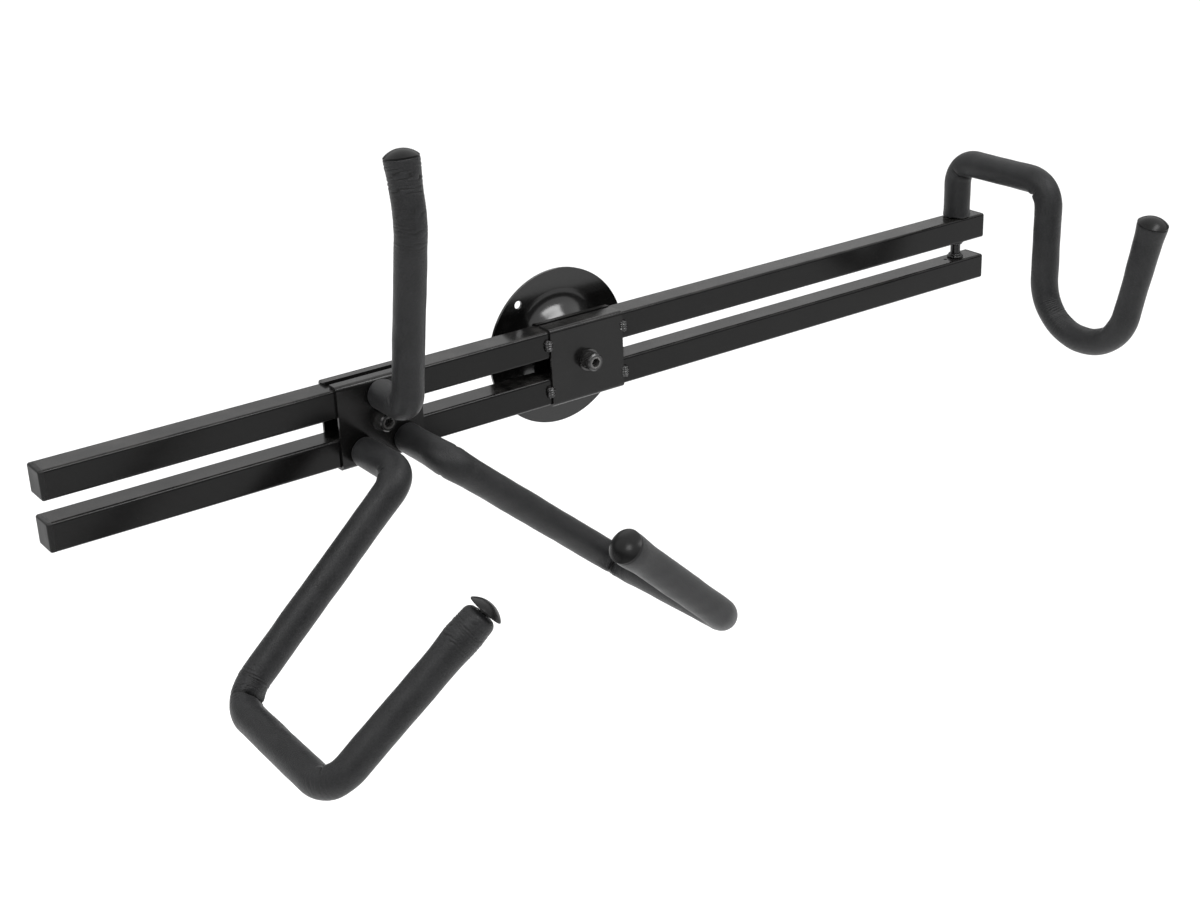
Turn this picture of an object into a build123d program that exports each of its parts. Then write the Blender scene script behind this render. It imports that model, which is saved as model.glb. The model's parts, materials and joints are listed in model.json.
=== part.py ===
from build123d import *
import os
from math import cos, pi, radians, sin, sqrt, tan

# Horizontal guitar wall hanger, in millimetres. +Z is up, +X runs along the rails towards
# the neck hook, and -Y points out of the wall. The origin is the centre of the wall
# flange's back face, on the pivot axis, and the wall is the plane Y = 0.

# ---- driving dimensions: wall flange ----
FLANGE_DIA = 116.0
FLANGE_SHEET = 2.0
FLANGE_RIM = 15.0           # width of the flat rim
DOME_HEIGHT = 15.0          # wall to the flat top of the dome
DOME_TOP_DIA = 30.0
WALL_HOLE_DIA = 6.0
WALL_HOLE_PCD = 100.0
WALL_HOLE_COUNT = 2
WALL_HOLE_ANGLE = 130.0     # first hole, from +X towards +Z

# ---- rails and end caps ----
RAIL_TUBE = 20.0            # square tube, outside
RAIL_WALL = 1.5
RAIL_CORNER = 2.0
RAIL_LENGTH = 792.0         # bare tube
RAIL_GAP = 14.5             # open slot between the two rails
CAP_HEAD = 3.5              # the part of an end cap that shows
CAP_PLUG = 12.0             # the part pressed into the tube
CAP_WALL = 1.5
CAP_FIT = 0.10

# ---- centre bracket and sliding carriage, folded from sheet ----
CENTRE_SHEET = 1.5
CENTRE_WIDTH = 62.0
CENTRE_REAR_LIP = 5.0       # how far the rear plate folds forward over the rails
CENTRE_LIP_GAP = 3.0        # open slit between the front plate's fold and the rear plate's
CARRIAGE_SHEET = 2.0
CARRIAGE_WIDTH = 63.0
CARRIAGE_LIP = 7.0
CARRIAGE_X = -168.4         # carriage centre at rest
SLIDE_FIT = 0.25            # clearance of the loosened carriage on the rails

# ---- bolts, nuts and washers (M8) ----
BOLT_DIA = 8.0
BOLT_HEAD_DIA = 13.0
BOLT_HEAD_HEIGHT = 8.0
BOLT_KNURLS = 36
HEX_KEY = 6.0
HEX_DEPTH = 4.5
PIVOT_BOLT_POKE = 2.3       # thread showing past the lock nut
CLAMP_BOLT_POKE = 0.8
NUT_FLATS = 13.0
NUT_HEIGHT = 6.5
LOCK_COLLAR = 1.5           # nylon collar of the lock nut
WASHER_DIA = 16.0
WASHER_THICK = 1.6
FRICTION_WASHER_DIA = 28.0
FRICTION_WASHER_THICK = 1.5
SPACER_DIA = 12.0           # tube between the two centre plates
TURN_FIT = 0.08             # running clearance around the bolts, on the radius

# ---- bent rods, foam sleeves, plugs and welds ----
ROD_DIA = 8.0
ROD_FIT = 0.10              # hole or foam bore around a rod, on the radius
FOAM_DIA = 21.0
ARM_FOAM_START = 4.0        # bare rod between the carriage and a sleeve
HOOK_FOAM_START = 0.6
PLUG_HEAD_DIA = 23.0        # stands a little proud of the foam
PLUG_HEAD_HEIGHT = 5.6
PLUG_RIM = 0.8              # edge under the dome
PLUG_STEM_FIT = 1.1         # stem to the foam's bore, on the radius
PLUG_STEM = 10.0
LOOSE_PLUG_TILT = 2.5       # the lower left plug has crept a little out of its sleeve
LOOSE_PLUG_LIFT = 2.0
WELD_LEG = 2.6
WELD_FIT = 0.04
BEAD_RADIUS = 2.6           # short beads at the centre bracket's edges
BEAD_LENGTH = 9.0

# ---- neck hook, in a plane across the rails ----
HOOK_END_INSET = 18.6       # hook rod to the bare end of the rails
HOOK_TOP_Z = 73.3
HOOK_REACH = 96.0           # rail centre line to the hanging leg
HOOK_BEND = 20.0
HOOK_U_RADIUS = 40.5
HOOK_U_FLAT = 2.0           # short straight run at the bottom of the U
HOOK_U_BOTTOM_Z = -42.6
HOOK_TIP_LEAN = 13.3        # outward lean of the free leg, degrees
HOOK_TIP_Z = 62.0
VENT_DIA = 3.0              # small hole in the lower rail beside the hook rod
VENT_OFFSET = 11.0

# ---- upper arm, in a plane across the rails ----
UPPER_BOLT_GAP = 1.5        # between its sleeve and the clamp bolt's head
UPPER_REACH = 36.0          # carriage face to the upright
UPPER_LEAN = 10.5           # the upright leans outward, degrees
UPPER_KINK_Z = 147.0
UPPER_TIP_LEAN = -8.0       # above the kink it leans back
UPPER_TIP_Z = 187.0
UPPER_BEND = 15.0
UPPER_KINK_BEND = 60.0

# ---- lower arms, mirror images about the carriage's centre plane ----
LOWER_ROOT_SPREAD = 17.0    # carriage centre to a rod's root
LOWER_REACH = 52.8          # carriage face to the first elbow
LOWER_LEAN_OUT = 2.5        # how much further out the second elbow stands
SHELF_SPLAY = 2.6
LOWER_ARMS = {              # the two arms are bent by hand and differ a little
    "left": {
        "spread": 149.7,    # carriage centre to the second elbow
        "drop": 118.7,      # root down to the second elbow
        "shelf": 127.0,     # the run that carries the guitar's edge
        "rise": 0.0,        # over the shelf's length
        "lip": (98.6, 20.9, 92.0),      # the lip comes back in, slightly out and up
    },
    "right": {"spread": 146.0, "drop": 112.7, "shelf": 125.0, "rise": 1.9,
              "lip": (97.8, 20.6, 92.8)},
}
LOWER_ELBOW = 16.0
LOWER_BEND = 24.0

# ---- places worked out from the dimensions above ----
RAIL_BACK_Y = -(DOME_HEIGHT + FRICTION_WASHER_THICK + CENTRE_SHEET)
RAIL_MID_Y = RAIL_BACK_Y - RAIL_TUBE / 2
RAIL_FRONT_Y = RAIL_BACK_Y - RAIL_TUBE
RAIL_MID_Z = (RAIL_GAP + RAIL_TUBE) / 2
STACK_HALF = RAIL_GAP / 2 + RAIL_TUBE
CENTRE_FACE_Y = RAIL_FRONT_Y - CENTRE_SHEET
CENTRE_BACK_Y = RAIL_BACK_Y + CENTRE_SHEET
CARRIAGE_FACE_Y = RAIL_FRONT_Y - SLIDE_FIT - CARRIAGE_SHEET
CARRIAGE_BACK_Y = RAIL_BACK_Y + SLIDE_FIT + CARRIAGE_SHEET
CENTRE_FRONT_LIP = RAIL_TUBE - CENTRE_REAR_LIP - CENTRE_LIP_GAP
BOLT_HOLE_R = BOLT_DIA / 2 + TURN_FIT
FOAM_BORE_R = ROD_DIA / 2 + ROD_FIT
BEND_INNER_R = 0.75 * RAIL_CORNER
FLANGE_INSIDE_Y = FLANGE_SHEET - DOME_HEIGHT
PIVOT_GRIP = FLANGE_INSIDE_Y - CENTRE_FACE_Y + 2 * WASHER_THICK
CLAMP_GRIP = CARRIAGE_BACK_Y - CARRIAGE_FACE_Y + 2 * WASHER_THICK
PIVOT_BOLT_LENGTH = PIVOT_GRIP + NUT_HEIGHT + LOCK_COLLAR + PIVOT_BOLT_POKE
CLAMP_BOLT_LENGTH = CLAMP_GRIP + NUT_HEIGHT + CLAMP_BOLT_POKE
HOOK_X = RAIL_LENGTH / 2 - HOOK_END_INSET
UPPER_ROOT_Z = BOLT_HEAD_DIA / 2 + UPPER_BOLT_GAP + FOAM_DIA / 2
LOWER_ROOT_Z = -RAIL_MID_Z


# ---- planes and small helpers ----
def facing_out(x, y, z=0):
    """A plane at a point, whose own Z axis points out of the wall."""
    return Plane(origin=(x, y, z), x_dir=(1, 0, 0), z_dir=(0, -1, 0))


def facing_wall(x, y, z=0):
    return Plane(origin=(x, y, z), x_dir=(1, 0, 0), z_dir=(0, 1, 0))


def rail_end(side, z):
    """A plane on one end of a rail's bare tube, facing away from the tube."""
    end = (side * RAIL_LENGTH / 2, RAIL_MID_Y, z)
    return Plane(origin=end, x_dir=(0, 1, 0), z_dir=(side, 0, 0))


def spun(outline, base):
    """Turn a closed (radius, height) outline about the Z axis of a base plane."""
    return base * revolve(Plane.XZ * make_face(outline), Axis.Z)


def square(side, corner):
    return RectangleRounded(side, side, corner)


def hexagon(flats):
    return RegularPolygon(flats / 2, 6, major_radius=False)


def save(name, shape):
    shape.label = name
    export_step(shape, f"parts/{name}.step")


# ---- wall side and fasteners ----
def wall_flange():
    """Flat rim, S-shaped side and flat top, pressed from one sheet."""
    rim_r, rim_in, top_r = FLANGE_DIA / 2, FLANGE_DIA / 2 - FLANGE_RIM, DOME_TOP_DIA / 2
    inner_top = DOME_HEIGHT - FLANGE_SHEET
    bulge = 0.5 * (rim_in - top_r)

    def side(foot):
        top = foot + inner_top
        return Bezier((rim_in, foot), (rim_in - bulge, foot), (top_r + bulge, top), (top_r, top))

    rim = Polyline((rim_in, FLANGE_SHEET), (rim_r, FLANGE_SHEET), (rim_r, 0), (rim_in, 0))
    crown = Polyline((top_r, inner_top), (BOLT_HOLE_R, inner_top), (BOLT_HOLE_R, DOME_HEIGHT),
                     (top_r, DOME_HEIGHT))
    flange = spun([rim, side(0), crown, side(FLANGE_SHEET)], facing_out(0, 0))
    for k in range(WALL_HOLE_COUNT):
        turn = radians(WALL_HOLE_ANGLE + 360 * k / WALL_HOLE_COUNT)
        x, z = WALL_HOLE_PCD / 2 * cos(turn), WALL_HOLE_PCD / 2 * sin(turn)
        flange -= facing_out(x, 0, z) * Cylinder(WALL_HOLE_DIA / 2, 4 * FLANGE_SHEET)
    return flange


def washer(base, outer_dia=WASHER_DIA, thick=WASHER_THICK):
    return base * extrude(Circle(outer_dia / 2) - Circle(BOLT_HOLE_R), thick)


def nut(base, collar=0.0):
    """A chamfered hexagon nut; a lock nut also has a round collar on its far side."""
    corner_r = NUT_FLATS / 2 / cos(radians(30))
    blank = Pos(0, 0, NUT_HEIGHT / 2) * Cylinder(corner_r, NUT_HEIGHT)
    blank = chamfer(blank.edges().filter_by(GeomType.CIRCLE), 0.07 * NUT_FLATS)
    body = extrude(hexagon(NUT_FLATS), NUT_HEIGHT) & blank
    if collar:
        body += Pos(0, 0, NUT_HEIGHT) * extrude(Circle(0.43 * NUT_FLATS), collar)
    return base * (body - extrude(Circle(BOLT_HOLE_R), NUT_HEIGHT + collar))


def socket_screw(base, length):
    """Knurled head on the outer side of the base plane, shank on the other side."""
    head_r = BOLT_HEAD_DIA / 2
    groove_r = pi * head_r / BOLT_KNURLS / 2
    grooved = Circle(head_r) - PolarLocations(head_r, BOLT_KNURLS) * Circle(groove_r)
    blank = Pos(0, 0, BOLT_HEAD_HEIGHT / 2) * Cylinder(head_r, BOLT_HEAD_HEIGHT)
    blank = chamfer(blank.edges().group_by(Axis.Z)[-1], 0.12 * BOLT_HEAD_HEIGHT)
    head = extrude(grooved, BOLT_HEAD_HEIGHT) & blank
    head -= Pos(0, 0, BOLT_HEAD_HEIGHT) * extrude(hexagon(HEX_KEY), -HEX_DEPTH)
    shank = Pos(0, 0, -length / 2) * Cylinder(BOLT_DIA / 2, length)
    shank = chamfer(shank.edges().group_by(Axis.Z)[0], 0.12 * BOLT_DIA)
    return base * (head + shank)


# ---- rails ----
def rail(z):
    """A hollow square tube with soft corners."""
    bore = RAIL_TUBE - 2 * RAIL_WALL
    section = square(RAIL_TUBE, RAIL_CORNER) - square(bore, RAIL_CORNER / 2)
    return rail_end(1, z) * extrude(section, -RAIL_LENGTH)


def upper_rail():
    hook_hole = Cylinder(ROD_DIA / 2 + ROD_FIT, 2 * RAIL_TUBE)
    return rail(RAIL_MID_Z) - Pos(HOOK_X, RAIL_MID_Y, RAIL_MID_Z) * hook_hole


def lower_rail():
    vent = Cylinder(VENT_DIA / 2, 3 * RAIL_WALL)
    return rail(-RAIL_MID_Z) - Pos(HOOK_X - VENT_OFFSET, RAIL_MID_Y, -RAIL_GAP / 2) * vent


def rail_cap(side, z):
    """A plastic cap: a soft-edged head the size of the tube and a hollow plug inside it."""
    head = extrude(square(RAIL_TUBE, RAIL_CORNER), CAP_HEAD)
    head = fillet(head.faces().sort_by(Axis.Z)[-1].edges(), 0.45 * CAP_HEAD)
    plug_side = RAIL_TUBE - 2 * (RAIL_WALL + CAP_FIT)
    walls = square(plug_side, RAIL_CORNER / 2) - square(plug_side - 2 * CAP_WALL, RAIL_CORNER / 4)
    return rail_end(side, z) * (head + extrude(walls, -CAP_PLUG))


# ---- folded plates ----
def folded_plate(face_y, towards, sheet, fit, lip, width, x):
    """
    A shallow channel over both rails, with a bolt hole. face_y is its outer face, towards is
    +1 if it folds towards the wall, and lip is how far each fold reaches over the rails.
    """
    half = STACK_HALF + fit + sheet
    depth = sheet + fit + lip
    outer = Pos(depth / 2, 0) * Rectangle(depth, 2 * half)
    inner = Pos(depth / 2 + sheet, 0) * Rectangle(depth, 2 * (half - sheet))
    outer = fillet(outer.vertices().group_by(Axis.X)[0], BEND_INNER_R + sheet)
    inner = fillet(inner.vertices().group_by(Axis.X)[0], BEND_INNER_R)
    middle = Plane(origin=(x, face_y, 0), x_dir=(0, towards, 0), z_dir=(1, 0, 0))
    plate = middle * extrude(outer - inner, width / 2, both=True)
    return plate - facing_out(x, face_y) * Cylinder(BOLT_HOLE_R, 4 * depth)


def edge_beads():
    """Short weld beads along the centre plates' side edges, one on each rail."""
    front_plate, rear_plate = centre_front_plate(), centre_rear_plate()
    rails = [rail(RAIL_MID_Z), rail(-RAIL_MID_Z)]
    beads = []
    for side in (-1, 1):
        for z in (-RAIL_MID_Z, RAIL_MID_Z):
            for y in (RAIL_FRONT_Y, RAIL_BACK_Y):
                bead = Cylinder(BEAD_RADIUS, BEAD_LENGTH)
                bead = fillet(bead.edges().filter_by(GeomType.CIRCLE), 0.8 * BEAD_RADIUS)
                bead = Pos(side * (CENTRE_WIDTH / 2 - 0.2 * BEAD_RADIUS), y, z) * bead
                bead = bead - front_plate - rear_plate - rails[0] - rails[1]
                beads.append(bead.solids().sort_by(SortBy.VOLUME)[-1])
    return Compound(beads)


def centre_front_plate():
    return folded_plate(CENTRE_FACE_Y, 1, CENTRE_SHEET, 0, CENTRE_FRONT_LIP, CENTRE_WIDTH, 0)


def centre_rear_plate():
    return folded_plate(CENTRE_BACK_Y, -1, CENTRE_SHEET, 0, CENTRE_REAR_LIP, CENTRE_WIDTH, 0)


def carriage_plate(face_y, towards):
    return folded_plate(face_y, towards, CARRIAGE_SHEET, SLIDE_FIT, CARRIAGE_LIP,
                        CARRIAGE_WIDTH, CARRIAGE_X)


def spacer():
    tube = Circle(SPACER_DIA / 2) - Circle(BOLT_HOLE_R)
    return facing_out(0, RAIL_BACK_Y) * extrude(tube, RAIL_TUBE)


# ---- routes of the bent rods: corner points and bend radii ----
def hook_route():
    """Up from the lower rail, out over the top, down, round the U and up the free leg."""
    leg_y = RAIL_MID_Y - HOOK_REACH
    lean = radians(HOOK_TIP_LEAN)
    touch_y = leg_y - HOOK_U_RADIUS - HOOK_U_FLAT - HOOK_U_RADIUS * cos(lean)
    touch_z = HOOK_U_BOTTOM_Z + HOOK_U_RADIUS - HOOK_U_RADIUS * sin(lean)

    def free_leg_y(z):
        """Y of the leaning leg's centre line, which touches the U's second bend."""
        return touch_y - (z - touch_z) * tan(lean)

    points = [
        (HOOK_X, RAIL_MID_Y, -RAIL_GAP / 2),
        (HOOK_X, RAIL_MID_Y, HOOK_TOP_Z),
        (HOOK_X, leg_y, HOOK_TOP_Z),
        (HOOK_X, leg_y, HOOK_U_BOTTOM_Z),
        (HOOK_X, free_leg_y(HOOK_U_BOTTOM_Z), HOOK_U_BOTTOM_Z),
        (HOOK_X, free_leg_y(HOOK_TIP_Z), HOOK_TIP_Z),
    ]
    return points, [HOOK_BEND, HOOK_BEND, HOOK_U_RADIUS, HOOK_U_RADIUS]


def upper_route():
    """Straight out of the carriage, then up, leaning out and then back."""
    upright_y = CARRIAGE_FACE_Y - UPPER_REACH
    kink_y = upright_y - (UPPER_KINK_Z - UPPER_ROOT_Z) * tan(radians(UPPER_LEAN))
    tip_y = kink_y - (UPPER_TIP_Z - UPPER_KINK_Z) * tan(radians(UPPER_TIP_LEAN))
    points = [
        (CARRIAGE_X, CARRIAGE_FACE_Y, UPPER_ROOT_Z),
        (CARRIAGE_X, upright_y, UPPER_ROOT_Z),
        (CARRIAGE_X, kink_y, UPPER_KINK_Z),
        (CARRIAGE_X, tip_y, UPPER_TIP_Z),
    ]
    return points, [UPPER_BEND, UPPER_KINK_BEND]


def lower_route(hand):
    """Out, down and sideways, out along the shelf, then back in and up as a lip."""
    side = {"left": -1, "right": 1}[hand]
    arm = LOWER_ARMS[hand]
    lip_in, lip_out, lip_up = arm["lip"]
    elbow_y = CARRIAGE_FACE_Y - LOWER_REACH
    shelf_y = elbow_y - LOWER_LEAN_OUT
    front_y = shelf_y - arm["shelf"]
    shelf_z = LOWER_ROOT_Z - arm["drop"]
    front_z = shelf_z + arm["rise"]
    front_spread = arm["spread"] + SHELF_SPLAY
    points = [
        (CARRIAGE_X + side * LOWER_ROOT_SPREAD, CARRIAGE_FACE_Y, LOWER_ROOT_Z),
        (CARRIAGE_X + side * LOWER_ROOT_SPREAD, elbow_y, LOWER_ROOT_Z),
        (CARRIAGE_X + side * arm["spread"], shelf_y, shelf_z),
        (CARRIAGE_X + side * front_spread, front_y, front_z),
        (CARRIAGE_X + side * (front_spread - lip_in), front_y - lip_out, front_z + lip_up),
    ]
    return points, [LOWER_ELBOW, LOWER_BEND, LOWER_BEND]


# ---- rods, sleeves, plugs and root welds, all made from a route ----
def swept(route, start, end, diameter, bore=0.0):
    """A round bar or tube along a route, shortened by start and end at its two ends."""
    points, radii = route
    points = [Vector(*point) for point in points]
    points[0] += (points[1] - points[0]).normalized() * start
    points[-1] += (points[-2] - points[-1]).normalized() * end
    path = FilletPolyline(*points, radius=radii)
    section = Circle(diameter / 2)
    if bore:
        section -= Circle(bore / 2)
    return sweep(Plane(origin=path @ 0, z_dir=path % 0) * section, path=path)


def rod(route):
    return swept(route, 0, PLUG_STEM + 2, ROD_DIA)


def foam_sleeve(route, setback):
    return swept(route, setback, 0, FOAM_DIA, 2 * FOAM_BORE_R)


def route_end(route):
    """A plane on the far end of a route, facing along it, with its X axis level."""
    last, before = Vector(*route[0][-1]), Vector(*route[0][-2])
    onward = (last - before).normalized()
    return Plane(origin=last, x_dir=onward.cross(Vector(0, 0, 1)), z_dir=onward)


def end_plug(route, lift=0.0, tilt=0.0):
    """A domed head and a short stem in the sleeve's bore; lift and tilt show it loose."""
    head_r, stem_r = PLUG_HEAD_DIA / 2, FOAM_BORE_R - PLUG_STEM_FIT
    rise = PLUG_HEAD_HEIGHT - PLUG_RIM
    ball_r = (head_r ** 2 + rise ** 2) / (2 * rise)
    halfway = (head_r / 2, PLUG_HEAD_HEIGHT - ball_r + sqrt(ball_r ** 2 - head_r ** 2 / 4))
    crown = ThreePointArc((head_r, PLUG_RIM), halfway, (0, PLUG_HEAD_HEIGHT))
    stem = Polyline((0, PLUG_HEAD_HEIGHT), (0, -PLUG_STEM), (0.7 * stem_r, -PLUG_STEM),
                    (stem_r, 0.2 * -PLUG_STEM), (stem_r, 0), (head_r, 0), (head_r, PLUG_RIM))
    plug = spun([crown, stem], Plane.XY)
    return route_end(route) * Pos(0, 0, lift) * Rot(0, tilt, 0) * plug


def root_weld(base):
    """A cone-shaped fillet weld around a rod where it meets a face."""
    inner_r = ROD_DIA / 2 + WELD_FIT
    toe = ThreePointArc((inner_r + WELD_LEG, 0), (inner_r + 0.38 * WELD_LEG, 0.38 * WELD_LEG),
                        (inner_r, WELD_LEG))
    return spun([Polyline((inner_r, WELD_LEG), (inner_r, 0), (inner_r + WELD_LEG, 0)), toe], base)


# ---- the assembly ----
def save_pivot():
    save("wall_flange", wall_flange())
    save("friction_washer", washer(facing_out(0, -DOME_HEIGHT), FRICTION_WASHER_DIA,
                                   FRICTION_WASHER_THICK))
    save("pivot_back_washer", washer(facing_wall(0, FLANGE_INSIDE_Y)))
    save("pivot_lock_nut", nut(facing_wall(0, FLANGE_INSIDE_Y + WASHER_THICK), LOCK_COLLAR))
    save("pivot_front_washer", washer(facing_out(0, CENTRE_FACE_Y)))
    head_seat = facing_out(0, CENTRE_FACE_Y - WASHER_THICK)
    save("pivot_bolt", socket_screw(head_seat, PIVOT_BOLT_LENGTH))


def save_rail_frame():
    save("upper_rail", upper_rail())
    save("lower_rail", lower_rail())
    for rail_name, z in (("upper", RAIL_MID_Z), ("lower", -RAIL_MID_Z)):
        for end_name, side in (("left", -1), ("right", 1)):
            save(f"{rail_name}_rail_{end_name}_cap", rail_cap(side, z))
    save("centre_front_plate", centre_front_plate())
    save("centre_rear_plate", centre_rear_plate())
    save("centre_spacer", spacer())
    save("centre_weld_beads", edge_beads())
    hook = hook_route()
    save("neck_hook_rod", rod(hook))
    rod_top = Plane(origin=(HOOK_X, RAIL_MID_Y, RAIL_GAP / 2), z_dir=(0, 0, -1))
    rod_foot = Plane(origin=(HOOK_X, RAIL_MID_Y, -RAIL_GAP / 2), z_dir=(0, 0, 1))
    save("neck_hook_welds", Compound([root_weld(rod_top), root_weld(rod_foot)]))
    to_rail_top = RAIL_GAP / 2 + STACK_HALF
    save("neck_hook_sleeve", foam_sleeve(hook, to_rail_top + HOOK_FOAM_START))
    save("neck_hook_end_plug", end_plug(hook))


def save_carriage():
    save("carriage_front_plate", carriage_plate(CARRIAGE_FACE_Y, 1))
    save("carriage_rear_plate", carriage_plate(CARRIAGE_BACK_Y, -1))
    save("clamp_front_washer", washer(facing_out(CARRIAGE_X, CARRIAGE_FACE_Y)))
    save("clamp_bolt", socket_screw(facing_out(CARRIAGE_X, CARRIAGE_FACE_Y - WASHER_THICK),
                                    CLAMP_BOLT_LENGTH))
    save("clamp_back_washer", washer(facing_wall(CARRIAGE_X, CARRIAGE_BACK_Y)))
    save("clamp_nut", nut(facing_wall(CARRIAGE_X, CARRIAGE_BACK_Y + WASHER_THICK)))
    routes = {"upper_arm": upper_route(), "lower_left_arm": lower_route("left"),
              "lower_right_arm": lower_route("right")}
    for name, route in routes.items():
        save(f"{name}_rod", rod(route))
        save(f"{name}_sleeve", foam_sleeve(route, ARM_FOAM_START))
        loose = name == "lower_left_arm"
        plug = end_plug(route, LOOSE_PLUG_LIFT, LOOSE_PLUG_TILT) if loose else end_plug(route)
        save(f"{name}_end_plug", plug)
    roots = [facing_out(*route[0][0]) for route in routes.values()]
    save("arm_root_welds", Compound([root_weld(root) for root in roots]))


os.makedirs("parts", exist_ok=True)
save_pivot()
save_rail_frame()
save_carriage()
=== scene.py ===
import json
import math

import bpy
import numpy as np
from mathutils import Matrix, Vector


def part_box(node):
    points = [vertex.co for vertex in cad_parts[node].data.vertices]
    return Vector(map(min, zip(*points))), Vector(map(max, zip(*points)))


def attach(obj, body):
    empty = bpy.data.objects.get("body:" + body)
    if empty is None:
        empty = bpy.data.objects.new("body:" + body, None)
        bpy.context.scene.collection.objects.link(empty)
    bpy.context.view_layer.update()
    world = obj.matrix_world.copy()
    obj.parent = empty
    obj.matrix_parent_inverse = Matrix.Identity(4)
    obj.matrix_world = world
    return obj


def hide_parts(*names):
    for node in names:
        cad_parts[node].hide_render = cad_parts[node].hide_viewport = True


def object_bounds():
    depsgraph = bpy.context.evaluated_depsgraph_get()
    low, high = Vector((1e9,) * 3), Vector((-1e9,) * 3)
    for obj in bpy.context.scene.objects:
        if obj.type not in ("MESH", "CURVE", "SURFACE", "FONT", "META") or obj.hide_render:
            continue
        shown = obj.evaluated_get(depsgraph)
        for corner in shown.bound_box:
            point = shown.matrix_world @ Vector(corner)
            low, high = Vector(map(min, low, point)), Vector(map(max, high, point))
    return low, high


# The visual model of the horizontal guitar wall hanger, in metres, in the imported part's frame:
# +Z is up, +X runs along the rails towards the neck hook and -Y points out of the wall.

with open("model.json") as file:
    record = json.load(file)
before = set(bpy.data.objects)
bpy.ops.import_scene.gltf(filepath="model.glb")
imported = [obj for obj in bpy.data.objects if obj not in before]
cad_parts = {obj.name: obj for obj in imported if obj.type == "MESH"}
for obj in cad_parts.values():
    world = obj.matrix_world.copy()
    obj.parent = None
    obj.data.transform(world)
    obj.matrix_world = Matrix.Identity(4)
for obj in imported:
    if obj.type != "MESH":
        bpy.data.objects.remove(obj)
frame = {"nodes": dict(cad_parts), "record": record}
cad_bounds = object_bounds()

MM = 0.001
TURN = 2 * math.pi

# ---- places read from the frame ----
def middle(node):
    low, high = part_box(node)
    return (low + high) / 2


HOOK_X = middle("neck_hook_rod").x
CARRIAGE_X = middle("clamp_bolt").x
RAIL_Y = middle("upper_rail").y
RAIL_TOP_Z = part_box("upper_rail")[1].z
SLOT_TOP_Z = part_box("upper_rail")[0].z
SLOT_FOOT_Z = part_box("lower_rail")[1].z
CARRIAGE_FACE_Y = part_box("carriage_front_plate")[0].y
LOWEST_Z = cad_bounds[0].z

# ---- sizes of the rods and of the foam on them ----
ROD_R = 4.0 * MM
FOAM_R = 10.5 * MM
BORE_R = 4.1 * MM
ROUTE_STEP = 0.5 * MM       # along a sleeve
AROUND = 72                 # points round a sleeve
BORE_EVERY = 8              # the bore has one ring for this many rings of the skin

# ---- how the foam lies on a bend and ends ----
UNEVEN = 0.16 * MM          # soft unevenness of the whole skin
UNEVEN_WAVE = 70.0 * MM
FULL_SHADE_RELIEF = 0.35 * MM      # relief that gives full painted shade in the foam's colour
TIGHT_BEND_R = 30.0 * MM    # foam creases only on bends tighter than this
LEAST_CREASED_TURN = 0.5    # and only where they turn by this many radians
CREASE_HALF = 0.9 * MM
SHOULDER_OFF = 4.0 * MM
SHOULDER_HALF = 2.8 * MM
SHOULDER_RISE = 0.35 * MM
RUFFLE_DEPTH = 0.20 * MM
RUFFLE_WAVE = 1.9 * MM
STRETCH_RISE = 0.35 * MM    # the outer side of a bend stands proud
STRETCH_HALF = 9.0 * MM
TORN_REACH = 5.0 * MM       # how far the rough edge at a sleeve's start goes in
TORN_DEPTH = 0.8 * MM
BUNCH_SHARE = 0.8           # how much of the foam on a bend's inside is pulled to its mitre
OPEN_BEND_SHARE = 0.15      # the same on a bend of large radius
CREASE_EDGE = 0.55          # below 1, wrinkles have broad crests and narrow valleys

# ---- neck hook ----
HOOK_TOP_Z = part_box("neck_hook_rod")[1].z - ROD_R
HOOK_REACH = 96.0 * MM
HOOK_BEND = 20.0 * MM
HOOK_U_RADIUS = 40.5 * MM
HOOK_U_FLAT = 2.0 * MM
HOOK_U_BOTTOM_Z = -42.6 * MM
HOOK_TIP_LEAN = math.radians(13.3)
HOOK_TIP_Z = 62.0 * MM
HOOK_SLEEVE_START = 0.2 * MM

# ---- upper arm ----
UPPER_ROOT_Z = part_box("upper_arm_rod")[0].z + ROD_R
UPPER_REACH = 36.0 * MM
UPPER_LEAN = math.radians(10.5)
UPPER_KINK_Z = 147.0 * MM
UPPER_TIP_LEAN = math.radians(-8.0)
UPPER_TIP_Z = 187.0 * MM
UPPER_BENDS = [15.0 * MM, 60.0 * MM]
UPPER_SLEEVE_START = 2.2 * MM

# ---- lower arms ----
LOWER_ROOT_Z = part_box("lower_right_arm_rod")[1].z - ROD_R
LOWER_ROOT_SPREAD = 17.0 * MM
LOWER_REACH = 52.8 * MM
LOWER_LEAN_OUT = 2.5 * MM
SHELF_SPLAY = 2.6 * MM
LOWER_ARMS = {              # spread, drop, shelf, rise and the lip's way in, out and up
    "left": (149.7 * MM, 118.7 * MM, 127.0 * MM, 0.0, 98.6 * MM, 20.9 * MM, 92.0 * MM),
    "right": (146.0 * MM, 112.7 * MM, 125.0 * MM, 1.9 * MM, 97.8 * MM, 20.6 * MM, 92.8 * MM),
}
LOWER_BENDS = [16.0 * MM, 24.0 * MM, 24.0 * MM]
LOWER_SLEEVE_START = 1.6 * MM

# ---- bolts ----
BOLT_R = 4.0 * MM
THREAD_PITCH = 1.25 * MM
THREAD_RIDGE_R = 0.30 * MM
THREAD_START = 0.35 * MM    # back from the bolt's end
THREAD_TURNS = {"pivot_bolt": 1.6, "clamp_bolt": 0.6}
THREAD_POINTS = 40          # in one turn
HEAD_R = 6.5 * MM
SOCKET_CORNER_R = 3.2 * MM
KNURL_DEPTH = 0.22 * MM

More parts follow.
